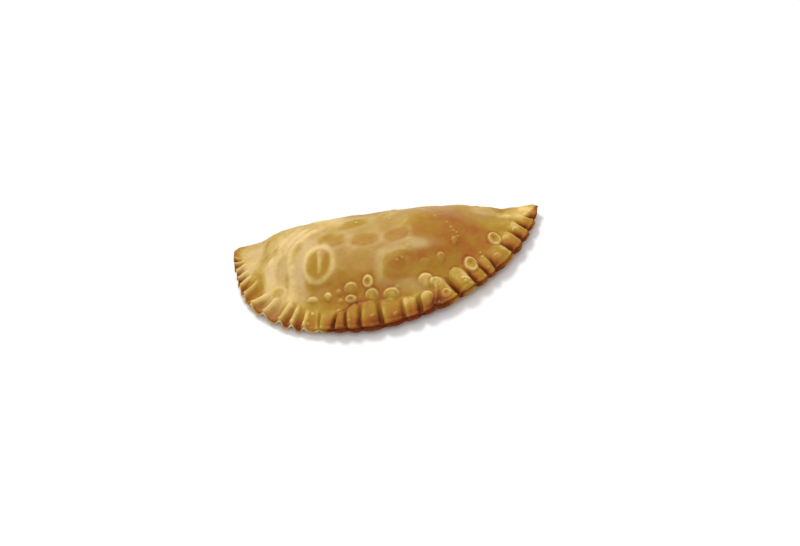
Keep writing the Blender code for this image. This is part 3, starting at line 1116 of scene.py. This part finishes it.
        # A ridge's end is painted darker, partly browner dough and partly painted shade where it turns
        # down; along the front it is painted shade
        end = frying_and_shade.ridge_end + frying_and_shade.end_shade_at_front * front + frying_and_shade.end_at_right * right
        end = end * np.clip(1 - inset / 9, 0, 1) ** 1.6
        # Painted shade and browner dough on a ridge's long side, and a painted highlight halfway up its
        # short side
        tone += ridged * (self.flank + end + frying_and_shade.ridge - frying_and_shade.brink_highlight * self.brink_highlight)
        # Painted shade and browner dough in a finger press's hollow, most at its outer end
        pressed = 0.15 + 0.85 * np.clip(1 - inset / 7, 0, 1) ** 1.4
        tone += self.scooped * self.flank * pressed * upper

        # Painted shade on the lip along the front, and painted light on it at the finger presses
        lip = frying_and_shade.lip_shade_at_front * front + frying_and_shade.lip_at_right * right
        tone += (lip + frying_and_shade.lip + frying_and_shade.lip_lit_at_presses * self.scooped) * self.lip
        tone -= frying_and_shade.pleat * np.clip(self.pleat / (0.5 * MM), 0, 1)
        # Painted highlight along the bead just inside the edge
        tone -= frying_and_shade.bead * bell(inset - 0.5, 0.4) * self.zone("edge", "rim") * raised
        tone += 0.07 * unevenness(places, 17.0, 21) + 0.04 * unevenness(places, 5.0, 22)
        tone += frying_and_shade.body_below * self.zone("heel", "base", "belly")
        tone += frying_and_shade.rim_below * self.zone("underside")
        # Painted shade round the feet of round blisters; paler skin and painted highlights on the
        # blisters' borders and pimples
        tone += frying_and_shade.foot * self.foot - frying_and_shade.pale_skin_and_highlight * self.pale_skin_and_highlight
        # Painted highlight on what stands proud of its surroundings, painted shade in hollows
        tone -= frying_and_shade.proud * self.proudness() * self.zone("rim", "front", "back")

        # The whitish skin of the patches, partly a painted sheen
        film_and_sheen = np.clip(film_and_sheen, 0, 0.9) * (0.85 + 0.3 * unevenness(places, 9.0, 23))
        # Painted highlights on the blisters' borders, and painted light on the lip at the finger
        # presses
        film_and_sheen += 0.2 * self.pale_skin_and_highlight + 0.4 * self.scooped * self.lip
        # Painted shade in the rim's grooves and in the slot of the edge's face
        crevice_shade = frying_and_shade.groove * np.clip(self.groove / (2.6 * MM), 0, 1) ** 1.5
        crevice_shade = np.maximum(crevice_shade, frying_and_shade.slot * self.slot)
        return {
            "browning_and_shade": np.clip(tone, 0, 1),
            "film_and_sheen": np.clip(film_and_sheen, 0, 1),
            "crevice_shade": np.clip(crevice_shade, 0, 1),
        }

    def build(self, name: str) -> bpy.types.Object:
        """Builds the dough's closed mesh with its traits as attributes.

        The grid's faces join each station to the next and each row to the next, round the section;
        a fan of triangles closes each tip.

        Args:
            name: The object's name.

        Returns:
            The object, at the origin, with its place in its mesh.
        """
        self.lay_stations()
        self.lay_sections()
        self.lay_rows()
        points = self.place()
        normal = self.normals(points)
        self.lay_ridge_lines()
        self.lay_ridges()
        self.lay_grooves()
        points = self.press_rim(points)
        points = self.swell(points, normal)
        points[..., 2] = np.maximum(points[..., 2], 0.0)
        traits = self.brown_and_shade(points)

        stations, rows = points.shape[:2]
        places = (points + self.middle).reshape(-1, 3)
        tips = np.stack([(points[end] + self.middle).mean(axis=0) for end in (0, -1)])
        corner = np.arange(stations * rows).reshape(stations, rows)
        following = np.roll(corner, -1, axis=1)
        quads = np.stack([corner[:-1], corner[1:], following[1:], following[:-1]], axis=-1)
        first = np.full(rows, stations * rows)
        right_fan = np.stack([first, corner[0], following[0]], axis=-1)
        left_fan = np.stack([first + 1, following[-1], corner[-1]], axis=-1)

        mesh = bpy.data.meshes.new(name)
        mesh.from_pydata(
            np.concatenate([places, tips]).tolist(),
            [],
            quads.reshape(-1, 4).tolist() + right_fan.tolist() + left_fan.tolist(),
        )
        mesh.shade_smooth()
        for trait, values in traits.items():
            ends = [values[0].mean(), values[-1].mean()]
            all_values = np.concatenate([values.ravel(), ends]).astype(np.float32)
            mesh.attributes.new(trait, "FLOAT", "POINT").data.foreach_set("value", all_values)
        mesh.update()
        piece = bpy.data.objects.new(name, mesh)
        bpy.context.scene.collection.objects.link(piece)
        return piece


def linear(hex_colour: str) -> tuple[float, float, float, float]:
    """Turns an sRGB hex colour into linear values with full alpha.

    Args:
        hex_colour: Six hex digits after a hash.

    Returns:
        Red, green, blue and alpha.
    """
    values = [int(hex_colour[i : i + 2], 16) / 255 for i in (1, 3, 5)]
    red, green, blue = (v / 12.92 if v <= 0.04045 else ((v + 0.055) / 1.055) ** 2.4 for v in values)
    return (red, green, blue, 1.0)


def add_node(
    tree: bpy.types.NodeTree,
    kind: str,
    inputs: dict[str | int, object] | None = None,
    **settings: object,
) -> bpy.types.Node:
    """Adds a node, gives it its settings, and sets or links its inputs.

    Args:
        tree: The material's node tree.
        kind: The node's type name.
        inputs: A value, or another node's output socket, for each input by name or number.
        settings: Values for the node's own properties.

    Returns:
        The node.
    """
    node = tree.nodes.new(kind)
    for name, value in settings.items():
        setattr(node, name, value)
    for name, value in (inputs or {}).items():
        if isinstance(value, bpy.types.NodeSocket):
            tree.links.new(value, node.inputs[name])
        else:
            node.inputs[name].default_value = value
    return node


@dataclass(frozen=True)
class FriedDough:
    """Wheat dough fried in oil.

    It gives the eye a golden skin, painted darker on a ridge's long side and outer end partly as
    browner dough and partly as painted shade, whitish where a thin skin has lifted and where a painted
    sheen lies, with painted shade in its creases and grooves and painted highlights on what stands
    proud, and a broad oily sheen and a fine, pimpled grain.

    Attributes:
        pale: The least fried dough.
        golden: The middle tone.
        brown_and_shade: Well fried dough, and the tone of painted shade on the ridges' sides and ends.
        dark: Nearly burnt dough, and the painted shade in the grooves.
        film_and_sheen: The whitish lifted skin, also used as a painted sheen.
        roughness: The skin under its oil.
        mottle_mm: The distance between its darker flecks.
        mottling: How far the flecks change the tone, from the palest to the darkest.
        grain_mm: The distance between the finest pimples.
        grain_height_mm: How far those stand out.
        depth_of_glow_mm: How deep light runs in the dough.
    """

    pale: str = "#e6c67c"
    golden: str = "#a98631"
    brown_and_shade: str = "#9f6029"
    dark: str = "#703418"
    film_and_sheen: str = "#ccb082"
    roughness: float = 0.5
    mottle_mm: float = 2.2
    mottling: float = 0.3
    grain_mm: float = 0.9
    grain_height_mm: float = 0.12
    depth_of_glow_mm: float = 1.6

    def material(self) -> bpy.types.Material:
        """Builds the material from the dough's traits and from noise at real scales.

        The browning, which also holds painted light and shade, with flecks added, picks a tone; the
        whitish lifted skin, partly a painted sheen, and then the painted shade of the grooves and the
        slot are laid over it.

        Returns:
            The material.
        """
        material = bpy.data.materials.new("fried_wheat_dough")
        material.use_nodes = True
        tree = material.node_tree
        shader = tree.nodes["Principled BSDF"]
        place = add_node(tree, "ShaderNodeTexCoord").outputs["Object"]
        browning_and_shade = add_node(tree, "ShaderNodeAttribute", attribute_name="browning_and_shade").outputs["Fac"]
        film_and_sheen = add_node(tree, "ShaderNodeAttribute", attribute_name="film_and_sheen").outputs["Fac"]
        crevice_shade = add_node(tree, "ShaderNodeAttribute", attribute_name="crevice_shade").outputs["Fac"]

        mottle = add_node(
            tree,
            "ShaderNodeTexNoise",
            {"Vector": place, "Scale": 1 / (self.mottle_mm * MM), "Detail": 5.0, "Roughness": 0.6},
        ).outputs["Fac"]
        flecks = add_node(
            tree,
            "ShaderNodeMath",
            {0: mottle, 1: self.mottling, 2: -0.5 * self.mottling},
            operation="MULTIPLY_ADD",
        ).outputs[0]
        tone = add_node(tree, "ShaderNodeMath", {0: browning_and_shade, 1: flecks}, operation="ADD").outputs[0]
        ramp = add_node(tree, "ShaderNodeValToRGB", {"Fac": tone})
        stops = ((0.0, self.pale), (0.38, self.golden), (0.72, self.brown_and_shade), (1.0, self.dark))
        for _ in stops[2:]:
            ramp.color_ramp.elements.new(0.5)
        for element, (position, colour) in zip(ramp.color_ramp.elements, stops):
            element.position = position
            element.color = linear(colour)

        # The whitish lifted skin, partly a painted sheen
        colour = self.over(tree, ramp.outputs["Color"], self.film_and_sheen, film_and_sheen)
        # Painted shade in the grooves and the slot, in the darkest tone
        colour = self.over(tree, colour, self.dark, crevice_shade)
        tree.links.new(colour, shader.inputs["Base Color"])

        grain = add_node(
            tree,
            "ShaderNodeTexNoise",
            {"Vector": place, "Scale": 1 / (self.grain_mm * MM), "Detail": 3.0, "Roughness": 0.55},
        ).outputs["Fac"]
        bump = add_node(
            tree,
            "ShaderNodeBump",
            {"Height": grain, "Strength": 0.35, "Distance": self.grain_height_mm * MM},
        ).outputs["Normal"]
        tree.links.new(bump, shader.inputs["Normal"])

        shader.inputs["Roughness"].default_value = self.roughness
        shader.inputs["Subsurface Weight"].default_value = 0.2
        shader.inputs["Subsurface Radius"].default_value = (1.0, 0.5, 0.2)
        shader.inputs["Subsurface Scale"].default_value = self.depth_of_glow_mm * MM
        shader.inputs["Specular IOR Level"].default_value = 0.1
        shader.inputs["Specular Tint"].default_value = linear(self.golden)
        shader.inputs["Coat Weight"].default_value = 0.04
        shader.inputs["Coat Roughness"].default_value = 0.25
        return material

    def over(
        self,
        tree: bpy.types.NodeTree,
        under: bpy.types.NodeSocket,
        colour: str,
        share: bpy.types.NodeSocket,
    ) -> bpy.types.NodeSocket:
        """Lays a colour over another by a share.

        Args:
            tree: The material's node tree.
            under: The colour below.
            colour: The colour on top, in hex.
            share: How much of it shows.

        Returns:
            The mixed colour's socket.
        """
        mix = add_node(
            tree,
            "ShaderNodeMix",
            {"Factor": share, 6: under, 7: linear(colour)},
            data_type="RGBA",
        )
        return mix.outputs[2]


@dataclass(frozen=True)
class SoftLight:
    """A square soft light that faces the middle of the frame.

    Attributes:
        name: What it is called.
        place: Where it hangs, in metres.
        size: Its side, in metres.
        power: Its power, in watts.
    """

    name: str
    place: tuple[float, float, float]
    size: float
    power: float

    def hang(self) -> None:
        """Hangs the light in the scene."""
        light = bpy.data.lights.new(self.name, "AREA")
        light.size = self.size
        light.energy = self.power
        holder = bpy.data.objects.new(self.name, light)
        holder.location = self.place
        holder.rotation_euler = (-Vector(self.place)).to_track_quat("-Z", "Y").to_euler()
        bpy.context.scene.collection.objects.link(holder)


@dataclass(frozen=True)
class Studio:
    """A plain pale ground under soft light, and the camera.

    Attributes:
        azimuth: The camera's turn round the piece, in degrees from straight in front.
        elevation: The camera's height, in degrees.
        roll: The camera's turn about its own axis, in degrees.
        distance: From the piece to the camera.
        focal: The lens, in millimetres on a sensor as wide as sensor.
        sensor: The sensor's width, in millimetres.
        aim_right: How far the picture's middle lies to the right of the fold's middle.
        aim_down: How far it lies below it.
        ground: The ground's colour.
        ground_half: Half the ground's side.
        sky: How bright the white surroundings are.
        lights: The key light behind and to the left, and a broad fill in front.
    """

    azimuth: float = 18.2
    elevation: float = 38.0
    roll: float = -19.7
    distance: float = 0.9
    focal: float = 90.9
    sensor: float = 36.0
    aim_right: float = 6.24 * MM
    aim_down: float = 17.56 * MM
    ground: str = "#f4f4f4"
    ground_half: float = 3.0
    sky: float = 0.6
    lights: tuple[SoftLight, ...] = (
        SoftLight("key", (-0.3, 0.7, 0.95), 0.4, 8.8),
        SoftLight("fill", (0.45, -0.95, 0.95), 1.2, 7.6),
    )

    def axes(self) -> tuple[Vector, Vector, Vector]:
        """Works out the camera's axes from its azimuth, elevation and roll.

        Returns:
            The directions to the picture's right, up it, and from the piece to the camera.
        """
        turn, tilt, roll = (math.radians(v) for v in (self.azimuth, self.elevation, self.roll))
        flat = math.cos(tilt)
        back = Vector((math.sin(turn) * flat, -math.cos(turn) * flat, math.sin(tilt)))
        level = Vector((math.cos(turn), math.sin(turn), 0.0))
        upright = back.cross(level)
        right = math.cos(roll) * level + math.sin(roll) * upright
        return right, back.cross(right), back

    def place_camera(self, middle: Vector) -> None:
        """Places the camera so that it looks past the fold's middle by the two aims.

        Args:
            middle: The middle of the fold.
        """
        right, up, back = self.axes()
        camera = bpy.data.cameras.new("camera")
        camera.lens = self.focal
        camera.sensor_width = self.sensor
        holder = bpy.data.objects.new("camera", camera)
        position = middle + self.aim_right * right - self.aim_down * up + self.distance * back
        turned = Matrix((right, up, back)).transposed().to_4x4()
        holder.matrix_world = Matrix.Translation(position) @ turned
        bpy.context.scene.collection.objects.link(holder)
        bpy.context.scene.camera = holder

    def lay_ground(self, height: float) -> None:
        """Lays a wide, plain, pale floor.

        Args:
            height: Where the piece rests.
        """
        half = self.ground_half
        mesh = bpy.data.meshes.new("ground")
        corners = [(-half, -half), (half, -half), (half, half), (-half, half)]
        mesh.from_pydata([(x, y, height) for x, y in corners], [], [(0, 1, 2, 3)])
        floor = bpy.data.objects.new("ground", mesh)
        # Matt paper gives an even, pale ground with no sheen
        material = bpy.data.materials.new("matt_paper")
        material.use_nodes = True
        shader = material.node_tree.nodes["Principled BSDF"]
        shader.inputs["Base Color"].default_value = linear(self.ground)
        shader.inputs["Roughness"].default_value = 0.9
        shader.inputs["Specular IOR Level"].default_value = 0.1
        mesh.materials.append(material)
        bpy.context.scene.collection.objects.link(floor)

    def light(self) -> None:
        """Hangs the lights and lights the sky."""
        for light in self.lights:
            light.hang()
        world = bpy.data.worlds.new("studio")
        world.use_nodes = True
        background = world.node_tree.nodes["Background"]
        background.inputs["Color"].default_value = (1.0, 1.0, 1.0, 1.0)
        background.inputs["Strength"].default_value = self.sky
        bpy.context.scene.world = world
        bpy.context.scene.view_settings.view_transform = "Standard"


def main() -> None:
    """Builds the dough and the studio, in order, and reports each piece."""
    logging.basicConfig(level=logging.INFO, format="%(name)s: %(message)s")
    dough = FoldedDough()
    piece = dough.build("crust")
    piece.data.materials.append(FriedDough().material())
    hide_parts("empanada")
    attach(piece, "root")
    faces = len(piece.data.polygons)
    LOG.info("crust: %d faces, %d blisters and %d ridges", faces, len(BLISTERS), len(RIDGES))

    studio = Studio()
    studio.place_camera(Vector(dough.middle))
    studio.lay_ground(CAD_BOX[0].z)
    studio.light()
    LOG.info("studio: camera, ground and two lights")


if __name__ == "__main__":
    main()
